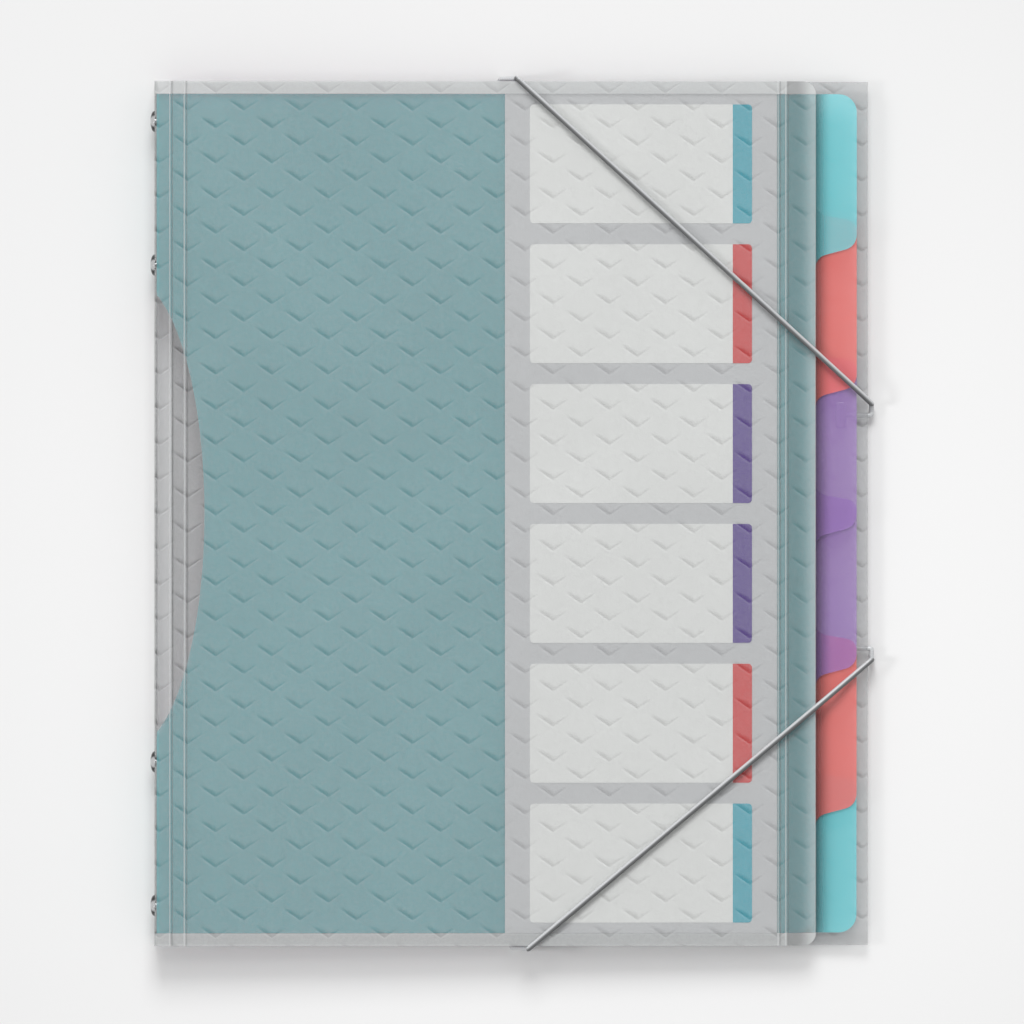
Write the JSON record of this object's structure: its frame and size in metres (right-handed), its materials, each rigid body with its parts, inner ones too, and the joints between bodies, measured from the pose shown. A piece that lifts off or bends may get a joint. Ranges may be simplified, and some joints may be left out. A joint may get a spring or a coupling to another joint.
{
  "type": "sorting folder",
  "caption": "Sorting folder with translucent covers, tabbed coloured dividers riveted to the spine, an index sheet with labels and corner elastics.",
  "frame": {"origin": "under the middle of the closed folder, on the surface that its back cover rests on", "axes": "+X from the spine to the free edges, +Y to the head of the page, +Z out of the front cover"},
  "size_m": [0.2566, 0.3098, 0.016],
  "materials": {
    "cover_sheet": "translucent embossed sheet",
    "teal_sheet": "translucent sheet",
    "red_sheet": "translucent sheet",
    "purple_sheet": "translucent sheet",
    "index_paper": "smooth printed paper",
    "label_paper": "smooth paper with a coloured bar at one end",
    "rivet_metal": "nickel-plated",
    "clip_metal": "plain",
    "elastic_cord": "braided round elastic"
  },
  "bodies": {
    "back_cover": {"back_cover": "cover_sheet", "elastic_top_ends": "elastic_cord", "elastic_bottom_ends": "elastic_cord", "elastic_clips": "clip_metal"},
    "spine": {"spine": "cover_sheet", "rivets": "rivet_metal", "rivet_washers": "rivet_metal", "binding_1": "teal_sheet", "binding_2": "red_sheet", "binding_3": "purple_sheet", "binding_4": "purple_sheet", "binding_5": "red_sheet", "binding_6": "teal_sheet"},
    "front_cover": {"front_cover": "cover_sheet", "index_sheet": "index_paper", "label_1": "label_paper", "label_2": "label_paper", "label_3": "label_paper", "label_4": "label_paper", "label_5": "label_paper", "label_6": "label_paper"},
    "divider_1": {"divider_1": "teal_sheet"},
    "divider_2": {"divider_2": "red_sheet"},
    "divider_3": {"divider_3": "purple_sheet"},
    "divider_4": {"divider_4": "purple_sheet"},
    "divider_5": {"divider_5": "red_sheet"},
    "divider_6": {"divider_6": "teal_sheet"},
    "elastic_top": {"elastic_top": "elastic_cord"},
    "elastic_bottom": {"elastic_bottom": "elastic_cord"}
  },
  "joints": [
    {"name": "spine_fold", "type": "hinge", "parent": "back_cover", "child": "spine", "pos_m": [-0.1265, 0, 0], "axis": [0, -1, 0], "range_deg": [0, 90]},
    {"name": "cover_fold", "type": "hinge", "parent": "spine", "child": "front_cover", "pos_m": [-0.1265, 0, 0.016], "axis": [0, -1, 0], "range_deg": [0, 90]},
    {"name": "divider_1_fold", "type": "hinge", "parent": "spine", "child": "divider_1", "pos_m": [-0.1256, 0, 0.0143], "axis": [0, -1, 0], "range_deg": [0, 75]},
    {"name": "divider_2_fold", "type": "hinge", "parent": "spine", "child": "divider_2", "pos_m": [-0.1248, 0, 0.0133], "axis": [0, -1, 0], "range_deg": [0, 45]},
    {"name": "divider_3_fold", "type": "hinge", "parent": "spine", "child": "divider_3", "pos_m": [-0.124, 0, 0.0123], "axis": [0, -1, 0], "range_deg": [0, 15]},
    {"name": "divider_4_fold", "type": "hinge", "parent": "spine", "child": "divider_4", "pos_m": [-0.1236, 0, 0.0037], "axis": [0, -1, 0], "range_deg": [-15, 0]},
    {"name": "divider_5_fold", "type": "hinge", "parent": "spine", "child": "divider_5", "pos_m": [-0.1244, 0, 0.0027], "axis": [0, -1, 0], "range_deg": [-45, 0]},
    {"name": "divider_6_fold", "type": "hinge", "parent": "spine", "child": "divider_6", "pos_m": [-0.1252, 0, 0.0017], "axis": [0, -1, 0], "range_deg": [-75, 0]},
    {"name": "elastic_top_release", "type": "hinge", "parent": "back_cover", "child": "elastic_top", "pos_m": [0.0646, 0.09644, 0.00618], "axis": [-0.7376, 0.675, 0.0192], "range_deg": [0, 180], "deforming": ["elastic_top"]},
    {"name": "elastic_bottom_release", "type": "hinge", "parent": "back_cover", "child": "elastic_bottom", "pos_m": [0.06665, -0.10293, 0.00617], "axis": [0.7658, 0.6428, -0.0205], "range_deg": [0, 180], "deforming": ["elastic_bottom"]}
  ],
  "couplings": [
    {"joint": "divider_1_fold", "follows": "cover_fold", "ratio": 0.83333},
    {"joint": "divider_2_fold", "follows": "cover_fold", "ratio": 0.5},
    {"joint": "divider_3_fold", "follows": "cover_fold", "ratio": 0.16667},
    {"joint": "divider_4_fold", "follows": "spine_fold", "ratio": -0.16667},
    {"joint": "divider_5_fold", "follows": "spine_fold", "ratio": -0.5},
    {"joint": "divider_6_fold", "follows": "spine_fold", "ratio": -0.83333},
    {"joint": "elastic_top_release", "follows": "spine_fold", "ratio": 2},
    {"joint": "elastic_bottom_release", "follows": "spine_fold", "ratio": 2}
  ]
}
